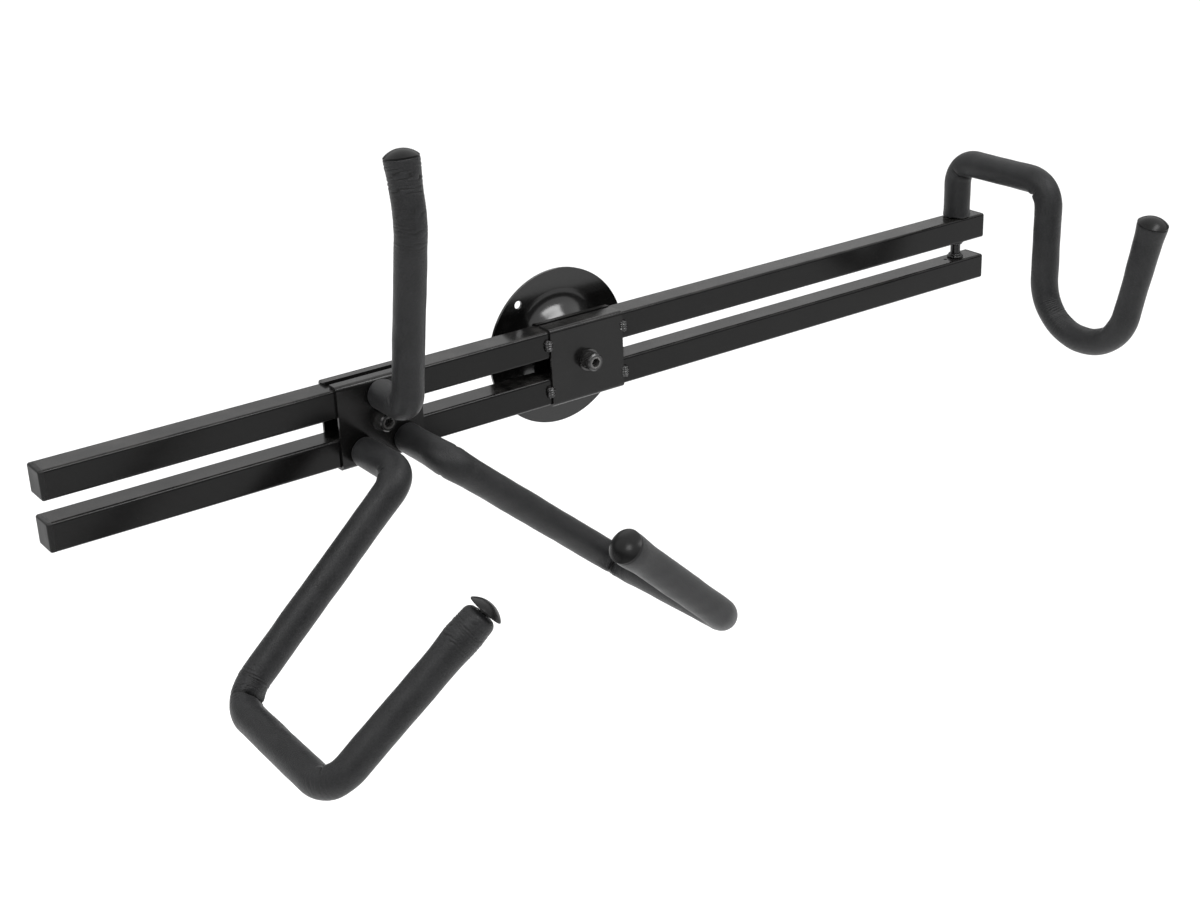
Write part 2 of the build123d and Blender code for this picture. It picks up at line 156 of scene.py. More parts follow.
# ---- welds ----
BEAD_STEP = 0.2 * MM        # along a bead
BEAD_SIDES = 20
BEAD_R = 3.5 * MM
BEAD_HALF = 4.6 * MM
BEAD_PITCH = 1.8 * MM
BEAD_OFF_PLATE = 1.2 * MM
FILLET_PITCH = 1.6 * MM
RIPPLE = 0.18               # of a bead's radius
HOOK_FILLET_R = 1.35 * MM
HOOK_FILLET_RINGS = ((5.2 * MM, 0.9 * MM), (4.2 * MM, 2.4 * MM))    # radius, off the rail
ARM_FILLET_R = 1.3 * MM
ARM_FILLET_RING = 5.0 * MM
ARM_FILLET_OFF = 0.6 * MM
RING_POINTS = 48

# ---- textures: how fine each is, per metre, and how deep its relief is ----
PEEL_SCALE = 520.0
GRAIN_SCALE = 3200.0
CLOUD_SCALE = 22.0
DUST_SCALE = 60.0
SPECK_SCALE = 260.0
SPECK_PATCH_SCALE = 90.0
RUB_SCALES = (9.0, 900.0, 900.0)    # long along the rails
RUB_PATCH_SCALE = 14.0
CELL_SCALE = 1250.0
SKIN_SCALE = 900.0
FOAM_CLOUD_SCALE = 48.0
# patches of the bolts' painted glints
GLINT_PATCH_SCALE = 900.0
WELD_LUMP_SCALE = 430.0
FLOOR_CLOUD_SCALE = 0.6
COAT_RELIEF = 0.08 * MM
BOLT_RELIEF = 0.05 * MM
PLASTIC_RELIEF = 0.06 * MM
FOAM_RELIEF = 0.25 * MM

# ---- foam colours ----
FOAM_DARK = (0.0030, 0.0032, 0.0036, 1.0)
FOAM_PALE = (0.0135, 0.0137, 0.0145, 1.0)
# painted highlight on the wrinkles' crests and the creases' shoulders
FOAM_PAINTED_HIGHLIGHT = (0.020, 0.021, 0.023, 1.0)

# ---- camera ----
CAMERA_PLACE = Vector((-0.7230, -1.0849, 0.4716))
CAMERA_YAW = math.radians(34.93)    # to the right of straight at the wall
CAMERA_PITCH = math.radians(23.09)  # downwards
CAMERA_ROLL = math.radians(2.35)
CAMERA_LENS = 57.3
CAMERA_SENSOR = 36.0
CAMERA_FAR = 500.0

# ---- studio ----
FLOOR_HALF = 20.0
FLOOR_BELOW = 0.6           # under the lowest point, because the hanger is fixed to a wall
GLOW_ON_PIECES = 0.12       # what the pieces are lit by from all round
GLOW_PAST_FLOOR = 1.0       # what is seen past the floor


# ======================================================================
# shader node helpers
# ======================================================================
class Nodes:
    """Adds and links shader nodes in one tree."""

    def __init__(self, tree):
        self.tree = tree

    def add(self, kind, settings=None, **sockets):
        node = self.tree.nodes.new(kind)
        for name, value in (settings or {}).items():
            setattr(node, name, value)
        for name, value in sockets.items():
            self.feed(node.inputs[name.replace("_", " ")], value)
        return node

    def feed(self, socket, value):
        if isinstance(value, bpy.types.NodeSocket):
            self.tree.links.new(value, socket)
        else:
            socket.default_value = value

    def math(self, operation, a, b=0.0, clamp=False):
        node = self.add("ShaderNodeMath", {"operation": operation, "use_clamp": clamp})
        self.feed(node.inputs[0], a)
        self.feed(node.inputs[1], b)
        return node.outputs[0]

    def ramp(self, value, low, high, out_low=0.0, out_high=1.0):
        node = self.add("ShaderNodeMapRange", {"interpolation_type": "SMOOTHSTEP"}, Value=value)
        for name, number in (("From Min", low), ("From Max", high), ("To Min", out_low),
                             ("To Max", out_high)):
            node.inputs[name].default_value = number
        return node.outputs["Result"]

    def mix(self, share, a, b):
        node = self.add("ShaderNodeMix", {"data_type": "RGBA"})
        self.feed(node.inputs["Factor"], share)
        self.feed(node.inputs[6], a)
        self.feed(node.inputs[7], b)
        return node.outputs[2]

    def noise(self, place, scale, detail=2.0, rough=0.5):
        node = self.add("ShaderNodeTexNoise", Vector=place, Scale=scale, Detail=detail,
                        Roughness=rough)
        return node.outputs["Fac"]

    def stretched(self, place, scale):
        node = self.add("ShaderNodeMapping", Vector=place)
        node.inputs["Scale"].default_value = scale
        return node.outputs["Vector"]


def shader_group(name, inputs, outputs):
    """An empty node group with named sockets: (group, Nodes, its input node, its output node)."""
    group = bpy.data.node_groups.new(name, "ShaderNodeTree")
    for label, kind, value in inputs:
        socket = group.interface.new_socket(label, in_out="INPUT", socket_type=kind)
        if value is not None:
            socket.default_value = value
    for label, kind in outputs:
        group.interface.new_socket(label, in_out="OUTPUT", socket_type=kind)
    nodes = Nodes(group)
    return group, nodes, nodes.add("NodeGroupInput"), nodes.add("NodeGroupOutput")


def use_group(nodes, group, **sockets):
    node = nodes.add("ShaderNodeGroup", {"node_tree": group})
    for name, value in sockets.items():
        nodes.feed(node.inputs[name.replace("_", " ")], value)
    return node


# ======================================================================
# shader groups that several finishes share
# ======================================================================
def coat_texture_group():
    """Baked coat: a soft orange peel, fine grain and broad, faint changes of gloss."""
    group, n, start, end = shader_group(
        "coat_texture",
        [("Place", "NodeSocketVector", None), ("Peel", "NodeSocketFloat", 0.5),
         ("Grain", "NodeSocketFloat", 0.3)],
        [("Height", "NodeSocketFloat"), ("Cloud", "NodeSocketFloat")])
    place = start.outputs["Place"]
    peel = n.math("MULTIPLY", n.noise(place, PEEL_SCALE, 2.0, 0.45), start.outputs["Peel"])
    grain = n.math("MULTIPLY", n.noise(place, GRAIN_SCALE, 3.0, 0.6), start.outputs["Grain"])
    n.feed(end.inputs["Height"], n.math("ADD", peel, grain))
    n.feed(end.inputs["Cloud"], n.ramp(n.noise(place, CLOUD_SCALE, 4.0, 0.55), 0.34, 0.66))
    return group


def handling_group():
    """Dust on faces that look up, a few specks, and faint rub marks along the rails."""
    group, n, start, end = shader_group(
        "handling",
        [("Place", "NodeSocketVector", None), ("Dust", "NodeSocketFloat", 0.3),
         ("Rub", "NodeSocketFloat", 0.3)],
        [("Dust Mask", "NodeSocketFloat"), ("Rub Mask", "NodeSocketFloat")])
    place = start.outputs["Place"]
    normal = n.add("ShaderNodeNewGeometry").outputs["Normal"]
    up = n.add("ShaderNodeSeparateXYZ", Vector=normal).outputs["Z"]
    thin = n.ramp(n.noise(place, DUST_SCALE, 5.0, 0.65), 0.35, 0.75)
    settled = n.math("MULTIPLY", n.ramp(up, 0.3, 1.0), thin)
    cells = n.add("ShaderNodeTexVoronoi", Vector=place, Scale=SPECK_SCALE)
    speck = n.math("MULTIPLY", n.ramp(cells.outputs["Distance"], 0.10, 0.05),
                   n.ramp(n.noise(place, SPECK_PATCH_SCALE, 1.0), 0.60, 0.68))
    dust = n.math("ADD", settled, n.math("MULTIPLY", speck, 0.8))
    n.feed(end.inputs["Dust Mask"], n.math("MULTIPLY", dust, start.outputs["Dust"], clamp=True))
    streaks = n.noise(n.stretched(place, RUB_SCALES), 1.0, 3.0, 0.6)
    patches = n.ramp(n.noise(place, RUB_PATCH_SCALE, 2.0), 0.46, 0.62)
    rub = n.math("MULTIPLY", n.ramp(streaks, 0.55, 0.72), patches)
    n.feed(end.inputs["Rub Mask"], n.math("MULTIPLY", rub, start.outputs["Rub"], clamp=True))
    return group


def foam_skin_group():
    """Closed-cell foam: tiny open cells in a soft skin, with paler and darker areas."""
    group, n, start, end = shader_group(
        "foam_skin",
        [("Place", "NodeSocketVector", None), ("Cells", "NodeSocketFloat", 1.0)],
        [("Height", "NodeSocketFloat"), ("Cloud", "NodeSocketFloat"),
         ("Pit", "NodeSocketFloat")])
    place = start.outputs["Place"]
    cells = n.add("ShaderNodeTexVoronoi", {"feature": "SMOOTH_F1"}, Vector=place,
                  Scale=CELL_SCALE, Smoothness=0.35)
    pit = n.ramp(cells.outputs["Distance"], 0.15, 0.6)
    skin = n.noise(place, SKIN_SCALE, 4.0, 0.65)
    height = n.math("ADD", n.math("MULTIPLY", pit, 0.5), n.math("MULTIPLY", skin, 0.6))
    n.feed(end.inputs["Height"], n.math("MULTIPLY", height, start.outputs["Cells"]))
    broad = n.ramp(n.noise(place, FOAM_CLOUD_SCALE, 5.0, 0.6), 0.30, 0.70)
    n.feed(end.inputs["Cloud"], n.math("ADD", n.math("MULTIPLY", broad, 0.5),
                                       n.math("MULTIPLY", n.ramp(skin, 0.35, 0.65), 0.5)))
    n.feed(end.inputs["Pit"], pit)
    return group


COAT_TEXTURE = coat_texture_group()
HANDLING = handling_group()
FOAM_SKIN = foam_skin_group()


# ======================================================================
# finishes
# ======================================================================
def new_material(name):
    material = bpy.data.materials.new(name)
    material.use_nodes = True
    tree = material.node_tree
    tree.nodes.clear()
    nodes = Nodes(tree)
    shader = nodes.add("ShaderNodeBsdfPrincipled")
    output = nodes.add("ShaderNodeOutputMaterial")
    nodes.feed(output.inputs["Surface"], shader.outputs["BSDF"])
    place = nodes.add("ShaderNodeTexCoord").outputs["Object"]
    return material, nodes, shader, place


def grey(value, warmth=0.0):
    return (value * (1 + warmth), value, value * (1 - warmth), 1.0)


def coated_metal(name, tone, rough, specular, dust, peel=0.5, rub=0.0, coat=0.0,
                 bump=0.35, warmth=0.02):
    """Black coat on steel, with its orange peel, dust and rub marks."""
    material, n, shader, place = new_material(name)
    texture = use_group(n, COAT_TEXTURE, Place=place, Peel=peel)
    marks = use_group(n, HANDLING, Place=place, Dust=dust, Rub=rub)
    cloud, dusty = texture.outputs["Cloud"], marks.outputs["Dust Mask"]
    colour = n.mix(cloud, grey(tone * 0.86, warmth), grey(tone * 1.14, warmth))
    colour = n.mix(marks.outputs["Rub Mask"], colour, grey(tone * 2.6, warmth))
    colour = n.mix(dusty, colour, grey(0.16, 0.05))
    n.feed(shader.inputs["Base Color"], colour)
    gloss = n.ramp(cloud, 0.0, 1.0, rough * 0.92, rough * 1.08)
    gloss = n.math("ADD", gloss, n.math("MULTIPLY", dusty, 0.35))
    gloss = n.math("ADD", gloss, n.math("MULTIPLY", marks.outputs["Rub Mask"], -0.08), clamp=True)
    n.feed(shader.inputs["Roughness"], gloss)
    shader.inputs["Specular IOR Level"].default_value = specular
    shader.inputs["Coat Weight"].default_value = coat
    shader.inputs["Coat Roughness"].default_value = 0.16
    relief = n.add("ShaderNodeBump", Height=texture.outputs["Height"], Strength=bump,
                   Distance=COAT_RELIEF)
    n.feed(shader.inputs["Normal"], relief.outputs["Normal"])
    return material


def bolt_steel(name, centre_x, tone=0.006, rough=0.24):
    """Blackened bolt, with a painted highlight round the socket's rim and painted glints on the
    knurls' crests.
    """
    material, n, shader, place = new_material(name)
    texture = use_group(n, COAT_TEXTURE, Place=place, Peel=0.1)
    marks = use_group(n, HANDLING, Place=place, Dust=0.03, Rub=0.0)
    shifted = n.add("ShaderNodeMapping", Vector=place)
    shifted.inputs["Location"].default_value = (-centre_x, 0.0, 0.0)
    parts = n.add("ShaderNodeSeparateXYZ", Vector=shifted.outputs["Vector"])
    across = n.math("SQRT", n.math("ADD", n.math("POWER", parts.outputs["X"], 2.0),
                                   n.math("POWER", parts.outputs["Z"], 2.0)))
    # a ring of painted highlight round the socket's rim and painted glints on the knurls' crests,
    # in patches
    socket_rim_glint = n.math("MULTIPLY", n.ramp(across, 2.6 * MM, SOCKET_CORNER_R),
                   n.ramp(across, 4.6 * MM, 3.9 * MM))
    knurl_crest_glint = n.ramp(across, HEAD_R - KNURL_DEPTH, HEAD_R)
    painted_glint = n.math("MAXIMUM", socket_rim_glint, n.math("MULTIPLY", knurl_crest_glint, 0.3))
    patchy = n.ramp(n.noise(place, GLINT_PATCH_SCALE, 3.0), 0.3, 0.6, 0.4, 1.0)
    painted_glint = n.math("MULTIPLY", painted_glint, patchy, clamp=True)
    # the painted glints lighten the colour and make it partly metallic
    colour = n.mix(painted_glint, grey(tone), grey(0.13, 0.02))
    n.feed(shader.inputs["Base Color"], n.mix(marks.outputs["Dust Mask"], colour, grey(0.15)))
    n.feed(shader.inputs["Metallic"], n.math("MULTIPLY", painted_glint, 0.7))
    n.feed(shader.inputs["Roughness"], n.ramp(texture.outputs["Cloud"], 0.0, 1.0, rough * 0.9,
                                              rough * 1.1))
    shader.inputs["Specular IOR Level"].default_value = 0.6
    relief = n.add("ShaderNodeBump", Height=texture.outputs["Height"], Strength=0.3,
                   Distance=BOLT_RELIEF)
    n.feed(shader.inputs["Normal"], relief.outputs["Normal"])
    return material


def moulded_plastic(name, tone, rough, specular, grain, dust):
    """Plastic with the fine spark-eroded texture of its mould."""
    material, n, shader, place = new_material(name)
    texture = use_group(n, COAT_TEXTURE, Place=place, Peel=0.15, Grain=grain)
    marks = use_group(n, HANDLING, Place=place, Dust=dust, Rub=0.0)
    cloud = texture.outputs["Cloud"]
    colour = n.mix(cloud, grey(tone * 0.9), grey(tone * 1.12))
    n.feed(shader.inputs["Base Color"], n.mix(marks.outputs["Dust Mask"], colour, grey(0.18)))
    n.feed(shader.inputs["Roughness"], n.ramp(cloud, 0.0, 1.0, rough * 0.9, rough * 1.1))
    shader.inputs["Specular IOR Level"].default_value = specular
    relief = n.add("ShaderNodeBump", Height=texture.outputs["Height"], Strength=0.5,
                   Distance=PLASTIC_RELIEF)
    n.feed(shader.inputs["Normal"], relief.outputs["Normal"])
    return material


def foam_material(name):
    """Charcoal foam: cellular grain, with painted shade in the cells' pits, the creases and the
    wrinkles' valleys, and painted highlight on the wrinkles' crests and the creases' shoulders.
    """
    material, n, shader, place = new_material(name)
    skin = use_group(n, FOAM_SKIN, Place=place)
    painted_shading = n.add("ShaderNodeAttribute", {"attribute_name": "painted_shading"}).outputs["Fac"]
    colour = n.mix(skin.outputs["Cloud"], FOAM_DARK, FOAM_PALE)
    # painted shade in the cells' pits
    colour = n.mix(n.ramp(skin.outputs["Pit"], 0.0, 1.0, 0.25, 0.0), colour, grey(0.003))
    # painted shade in the creases and the wrinkles' valleys
    colour = n.mix(n.ramp(painted_shading, 0.0, 0.7), colour, grey(0.002))
    # painted highlight on the wrinkles' crests and the creases' shoulders
    colour = n.mix(n.ramp(painted_shading, 0.0, -1.0, 0.0, 0.5), colour, FOAM_PAINTED_HIGHLIGHT)
    n.feed(shader.inputs["Base Color"], colour)
    n.feed(shader.inputs["Roughness"], n.ramp(skin.outputs["Cloud"], 0.0, 1.0, 0.40, 0.52))
    shader.inputs["Specular IOR Level"].default_value = 0.25
    shader.inputs["Sheen Weight"].default_value = 0.04
    shader.inputs["Sheen Roughness"].default_value = 0.5
    relief = n.add("ShaderNodeBump", Height=skin.outputs["Height"], Strength=0.8,
                   Distance=FOAM_RELIEF)
    n.feed(shader.inputs["Normal"], relief.outputs["Normal"])
    return material


FINISHES = {
    "flange_paint": coated_metal("flange_paint", tone=0.003, rough=0.19, specular=0.36,
                                 peel=0.25, dust=0.05, coat=0.3, bump=0.12),
    "rail_paint": coated_metal("rail_paint", tone=0.003, rough=0.21, specular=0.20, dust=0.12,
                               rub=0.6, bump=0.22),
    "plate_paint": coated_metal("plate_paint", tone=0.005, rough=0.21, specular=0.25,
                                dust=0.08, rub=0.3),
    "rod_paint": coated_metal("rod_paint", tone=0.005, rough=0.24, specular=0.34, dust=0.06),
    "black_steel": coated_metal("black_steel", tone=0.006, rough=0.24, specular=0.6, peel=0.1,
                                dust=0.05, coat=0.3),
    "weld_metal": coated_metal("weld_metal", tone=0.003, rough=0.10, specular=0.36, peel=0.9,
                               dust=0.0, coat=0.5, bump=0.5),
    "cap_plastic": moulded_plastic("cap_plastic", tone=0.006, rough=0.42, specular=0.20,
                                   grain=0.6, dust=0.25),
    "plug_plastic": moulded_plastic("plug_plastic", tone=0.005, rough=0.30, specular=0.16,
                                    grain=0.35, dust=0.05),
    "nylon": moulded_plastic("nylon", tone=0.02, rough=0.5, specular=0.4, grain=0.2,
                             dust=0.25),
    "foam": foam_material("foam"),
}

BOLTS = {
    "pivot_bolt": bolt_steel("pivot_bolt_steel", centre_x=0.0),
    "clamp_bolt": bolt_steel("clamp_bolt_steel", centre_x=CARRIAGE_X),
}


def finish_cad_nodes():
    """Every CAD node's finish, by its slot; the two bolts have finishes of their own, with
    painted glints on their heads.
    """
    for row in frame["record"]["subparts"]:
        mesh = frame["nodes"][row["node"]].data
        mesh.materials.clear()
        mesh.materials.append(BOLTS.get(row["node"]) or FINISHES[row["material_slot"]])


# ======================================================================
# meshes
# ======================================================================
def add_object(name, data):
    made = bpy.data.objects.new(name, data)
    bpy.context.scene.collection.objects.link(made)
    return made


def mesh_from_rings(name, rings):
    """
    A closed mesh through rings of points, an array (ring, point, xyz). Each ring joins the
    next and the last one joins the first.
    """
    count, around = rings.shape[:2]
    near = np.arange(count * around).reshape(count, around)
    far = np.roll(near, -1, 0)
    quads = np.stack([near, np.roll(near, -1, 1), np.roll(far, -1, 1), far], -1).reshape(-1, 4)
    mesh = bpy.data.meshes.new(name)
    mesh.from_pydata(rings.reshape(-1, 3).tolist(), [], quads.tolist())
    mesh.polygons.foreach_set("use_smooth", [True] * len(quads))
    mesh.update()
    return add_object(name, mesh)


def dress(piece, body, slot, *nodes):
    """Gives a piece its finish, its body and the CAD nodes that it stands for."""
    piece.data.materials.clear()
    piece.data.materials.append(FINISHES[slot])
    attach(piece, body)
    if nodes:
        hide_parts(*nodes)


def smoothstep(value, low, high):
    t = np.clip((value - low) / (high - low), 0.0, 1.0)
    return t * t * (3 - 2 * t)


def wander(along, around, seed, longest, count=5):
    """Smooth noise over a sleeve, about -1 to 1; longest is its longest wave, in metres."""
    dice = np.random.default_rng(seed)
    total = 0.0
    for k in range(count):
        wave = longest / (1 + k * dice.uniform(0.5, 0.9))
        turns = int(dice.integers(0, 3 + k))
        shift = dice.uniform(0, TURN)
        total = total + np.sin(TURN * along / wave + turns * around + shift) / (1 + 0.5 * k)
    return total / 2.2


# ======================================================================
# foam sleeves
# ======================================================================
class Route:
    """Straight runs joined by arcs, sampled evenly, with what each sample knows of its bend."""

    def __init__(self, corners, radii, start_trim):
        corners = [np.array(corner, float) for corner in corners]
        self.pieces = []
        self.bend_mids = []
        here = corners[0]
        length = 0.0
        for k, radius in enumerate(radii):
            corner, onward = corners[k + 1], corners[k + 2]
            before = (corner - corners[k]) / np.linalg.norm(corner - corners[k])
            after = (onward - corner) / np.linalg.norm(onward - corner)
            turn = math.acos(float(np.clip(before @ after, -1, 1)))
            cut = radius * math.tan(turn / 2)
            inward = (after - before) / np.linalg.norm(after - before)
            centre = corner + inward * radius / math.cos(turn / 2)
            arc_start = corner - before * cut
            length += self.add_run(here, arc_start)
            self.bend_mids.append(length + radius * turn / 2)
            self.pieces.append(("arc", radius * turn, centre, arc_start, before, radius, turn))
            length += radius * turn
            here = corner + after * cut
        length += self.add_run(here, corners[-1])
        self.length = length
        self.sample(start_trim)

    def add_run(self, start, end):
        run = float(np.linalg.norm(end - start))
        self.pieces.append(("run", run, start, end))
        return run

    def sample(self, start_trim):
        count = int(round((self.length - start_trim) / ROUTE_STEP)) + 1
        self.along = np.linspace(start_trim, self.length, count)
        self.point, self.ahead, self.inward = (np.zeros((count, 3)) for _ in range(3))
        self.radius, self.turn, self.from_mid = (np.zeros(count) for _ in range(3))
        begun = 0.0
        for piece in self.pieces:
            inside = (self.along >= begun - 1e-9) & (self.along <= begun + piece[1] + 1e-9)
            local = self.along[inside] - begun
            if piece[0] == "run":
                heading = (piece[3] - piece[2]) / max(piece[1], 1e-9)
                self.point[inside] = piece[2] + local[:, None] * heading
                self.ahead[inside] = heading
            else:
                _, size, centre, arc_start, before, radius, turn = piece
                spoke = (arc_start - centre) / radius
                angle = (local / radius)[:, None]
                out = spoke * np.cos(angle) + before * np.sin(angle)
                self.point[inside] = centre + radius * out
                self.ahead[inside] = before * np.cos(angle) - spoke * np.sin(angle)
                self.inward[inside] = -out
                self.radius[inside] = radius
                self.turn[inside] = turn
                self.from_mid[inside] = local / radius - turn / 2
            begun += piece[1]

    def sides(self):
        """Two directions across the route at each sample, which never twist about it."""
        first = np.zeros_like(self.point)
        start = np.cross(self.ahead[0], (0.0, 0.0, 1.0))
        if np.linalg.norm(start) < 0.1:
            start = np.cross(self.ahead[0], (1.0, 0.0, 0.0))
        first[0] = start / np.linalg.norm(start)
        for k in range(1, len(first)):
            carried = first[k - 1] - self.ahead[k] * (first[k - 1] @ self.ahead[k])
            first[k] = carried / np.linalg.norm(carried)
        return first, np.cross(self.ahead, first)


def hook_route():
    leg_y = RAIL_Y - HOOK_REACH
    touch_y = leg_y - HOOK_U_RADIUS - HOOK_U_FLAT - HOOK_U_RADIUS * math.cos(HOOK_TIP_LEAN)
    touch_z = HOOK_U_BOTTOM_Z + HOOK_U_RADIUS - HOOK_U_RADIUS * math.sin(HOOK_TIP_LEAN)
    slope = math.tan(HOOK_TIP_LEAN)
    corners = [
        (HOOK_X, RAIL_Y, RAIL_TOP_Z),
        (HOOK_X, RAIL_Y, HOOK_TOP_Z),
        (HOOK_X, leg_y, HOOK_TOP_Z),
        (HOOK_X, leg_y, HOOK_U_BOTTOM_Z),
        (HOOK_X, touch_y - (HOOK_U_BOTTOM_Z - touch_z) * slope, HOOK_U_BOTTOM_Z),
        (HOOK_X, touch_y - (HOOK_TIP_Z - touch_z) * slope, HOOK_TIP_Z),
    ]
    return Route(corners, [HOOK_BEND, HOOK_BEND, HOOK_U_RADIUS, HOOK_U_RADIUS],
                 HOOK_SLEEVE_START)


def upper_route():
    upright_y = CARRIAGE_FACE_Y - UPPER_REACH
    kink_y = upright_y - (UPPER_KINK_Z - UPPER_ROOT_Z) * math.tan(UPPER_LEAN)
    tip_y = kink_y - (UPPER_TIP_Z - UPPER_KINK_Z) * math.tan(UPPER_TIP_LEAN)
    corners = [
        (CARRIAGE_X, CARRIAGE_FACE_Y, UPPER_ROOT_Z),
        (CARRIAGE_X, upright_y, UPPER_ROOT_Z),
        (CARRIAGE_X, kink_y, UPPER_KINK_Z),
        (CARRIAGE_X, tip_y, UPPER_TIP_Z),
    ]
    return Route(corners, UPPER_BENDS, UPPER_SLEEVE_START)


def lower_route(hand):
    side = {"left": -1, "right": 1}[hand]
    spread, drop, shelf, rise, lip_in, lip_out, lip_up = LOWER_ARMS[hand]
    elbow_y = CARRIAGE_FACE_Y - LOWER_REACH
    shelf_y = elbow_y - LOWER_LEAN_OUT
    front_y = shelf_y - shelf
    shelf_z = LOWER_ROOT_Z - drop
    front_z = shelf_z + rise
    front_spread = spread + SHELF_SPLAY
    corners = [
        (CARRIAGE_X + side * LOWER_ROOT_SPREAD, CARRIAGE_FACE_Y, LOWER_ROOT_Z),
        (CARRIAGE_X + side * LOWER_ROOT_SPREAD, elbow_y, LOWER_ROOT_Z),
        (CARRIAGE_X + side * spread, shelf_y, shelf_z),
        (CARRIAGE_X + side * front_spread, front_y, front_z),
        (CARRIAGE_X + side * (front_spread - lip_in), front_y - lip_out, front_z + lip_up),
    ]
    return Route(corners, LOWER_BENDS, LOWER_SLEEVE_START)


class Wrinkles:
    """
    A patch of fine creases across a sleeve. towards leans it to one side of the sleeve, and a
    smaller stray keeps the creases straighter and less broken.
    """

    def __init__(self, centre, half, depth, wave, towards=None, stray=1.0):
        self.centre, self.half, self.depth, self.wave = centre, half, depth, wave
        self.towards, self.stray = towards, stray

    def height(self, along, around, outward, seed):
        fade = smoothstep(np.abs(along - self.centre), self.half, 0.25 * self.half)
        if self.towards is not None:
            aim = np.array(self.towards) / np.linalg.norm(self.towards)
            fade = fade * smoothstep(outward @ aim, -0.5, 0.4)
        drift = self.stray * self.wave * wander(along, around, seed, 26 * MM, 6)
        crease = np.abs(np.sin(math.pi * (along + drift) / self.wave)) ** CREASE_EDGE
        broken = smoothstep(wander(along, around, seed + 1, 10 * MM, 9), -0.45 / self.stray,
                            0.45)
        return self.depth * fade * (0.15 + 0.85 * broken) * (crease - 0.8)


class Fullness:
    """A smooth swelling of a sleeve about one place along it; a negative rise is a waist."""

    def __init__(self, centre, half, rise):
        self.centre, self.half, self.rise = centre, half, rise

    def height(self, along):
        return self.rise * np.exp(-((along - self.centre) / self.half) ** 2)


def foam_sleeve(name, body, node, route, seed, wrinkles, fullness, end_round, crease_depth):
    """
    A tube of foam pushed over a bent rod. On the inside of each tight bend the foam folds to
    a crease, crease_depth deep, with short wrinkles beside it. Both ends are rounded over by
    end_round, and the start is a little rough, as torn foam is.
    """
    turns = np.linspace(0, TURN, AROUND, endpoint=False)
    along, around = np.meshgrid(route.along, turns, indexing="ij")
    first, second = route.sides()
    outward = (np.cos(around)[..., None] * first[:, None, :]
               + np.sin(around)[..., None] * second[:, None, :])
    size = FOAM_R + UNEVEN * wander(along, around, seed, UNEVEN_WAVE)
    for swell in fullness:
        size = size + swell.height(along)
    # painted shading for the foam's colour: above 0 is painted shade in the crease, the wrinkles'
    # valleys and the ruffles, below 0 is painted highlight on the wrinkles' crests and the
    # crease's shoulders
    painted_shading = np.zeros_like(size)
    for patch_seed, patch in enumerate(wrinkles):
        relief = patch.height(along, around, outward, seed + 10 * patch_seed)
        size = size + relief
        painted_shading = painted_shading - relief / FULL_SHADE_RELIEF
    for mid in route.bend_mids:
        k = int(np.argmin(np.abs(route.along - mid)))
        bend_r, turn = route.radius[k], route.turn[k]
        if bend_r > TIGHT_BEND_R or turn < LEAST_CREASED_TURN:
            continue
        facing = outward @ route.inward[k]
        reach = smoothstep(facing, -0.40, 0.55)
        off = along - mid - 0.5 * MM * wander(along * 0, around, seed + 3, 30 * MM)
        groove = np.exp(-(off / CREASE_HALF) ** 2) * reach
        shoulders = np.exp(-((np.abs(off) - SHOULDER_OFF) / SHOULDER_HALF) ** 2) * reach
        size = size - crease_depth * groove + SHOULDER_RISE * shoulders
        painted_shading = painted_shading + 1.1 * groove - 0.25 * shoulders
        stray = 0.5 * MM * wander(along, around, seed + 5, 12 * MM)
        fine = np.abs(np.sin(math.pi * (off + stray) / RUFFLE_WAVE)) ** 0.8
        ruffle = smoothstep(facing, 0.25, 0.9) * smoothstep(np.abs(off), 13 * MM, 3 * MM)
        size = size + RUFFLE_DEPTH * ruffle * (fine - 1)
        painted_shading = painted_shading - 0.55 * ruffle * (fine - 1)
        outer = smoothstep(-facing, 0.2, 1.0)
        size = size + STRETCH_RISE * outer * np.exp(-(off / STRETCH_HALF) ** 2)
    from_end = np.minimum(along - route.along[0], route.along[-1] - along)
    lip = np.clip(end_round - from_end, 0, end_round)
    size = size - (end_round - np.sqrt(end_round ** 2 - lip ** 2))
    torn = smoothstep(along - route.along[0], TORN_REACH, 0.0) * (
        TORN_DEPTH * wander(around * 0, around, seed + 7, 10 * MM, 8))
    rings = (route.point[:, None, :] + outward * size[..., None]
             + route.ahead[:, None, :] * torn[..., None])

    in_bend = route.radius > 0
    tight = in_bend & (route.radius < TIGHT_BEND_R)
    mitre = np.where(in_bend, 1 / np.cos(route.turn / 2 - np.abs(route.from_mid)) - 1, 0)
    share = np.where(tight, 1.0, OPEN_BEND_SHARE)
    toward = np.einsum("sac,sc->sa", outward, route.inward)
    pull = (route.radius[:, None] - size * toward) * (mitre * share)[:, None]
    pull = pull * smoothstep(toward, 0.45, 1.0) * BUNCH_SHARE
    rings = rings - route.inward[:, None, :] * pull[..., None]

    bore = route.point[::-BORE_EVERY, None, :] + outward[::-BORE_EVERY] * BORE_R
    piece = mesh_from_rings(name, np.concatenate([rings, bore]))
    # the painted shading goes to the foam's shader as a point attribute; the bore gets none
    values = np.concatenate([painted_shading.ravel(), np.zeros(bore.shape[0] * AROUND)])
    attribute = piece.data.attributes.new("painted_shading", "FLOAT", "POINT")
    attribute.data.foreach_set("value", np.clip(values, -1, 1).astype(np.float32))
    dress(piece, body, "foam", node)


